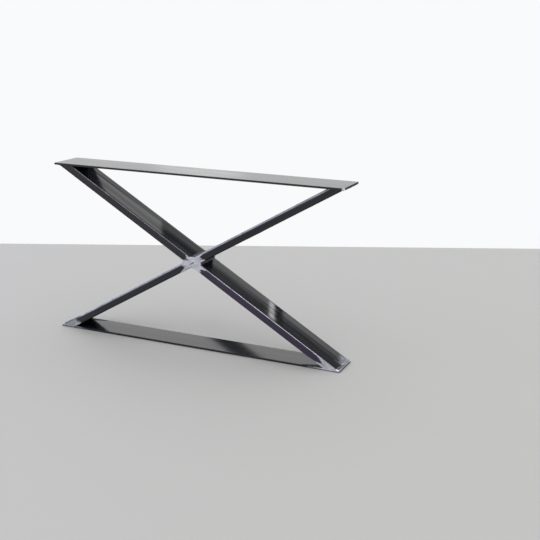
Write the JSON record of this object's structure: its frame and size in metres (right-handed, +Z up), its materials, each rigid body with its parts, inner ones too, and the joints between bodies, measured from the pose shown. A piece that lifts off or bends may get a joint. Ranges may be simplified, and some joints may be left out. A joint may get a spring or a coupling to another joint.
{
  "type": "x-frame table leg",
  "caption": "Welded steel X-frame table leg: flat top and bottom plates joined by crossing rectangular tubes, bare dark steel with ground welds.",
  "frame": {"origin": "on the floor, under the middle of the bottom plate", "axes": "+X along the plates, towards the end where the long diagonal comes down; +Y from front to back, across the plates; +Z up"},
  "size_m": [0.78, 0.1, 0.44],
  "materials": {
    "plate_steel": "bare hot-rolled flat bar, dark satin mill surface",
    "tube_steel": "bare dark graphite tube, smooth rolled surface with a blue-violet cast",
    "weld_steel": "bright ground weld, matt scratched"
  },
  "bodies": {
    "root": {"top_plate": "plate_steel", "bottom_plate": "plate_steel", "long_diagonal": "tube_steel", "upper_half_diagonal": "tube_steel", "lower_half_diagonal": "tube_steel", "weld_crossing_upper": "weld_steel", "weld_crossing_lower": "weld_steel", "weld_top_left": "weld_steel", "weld_top_right": "weld_steel", "weld_bottom_left": "weld_steel", "weld_bottom_right": "weld_steel"}
  },
  "joints": []
}
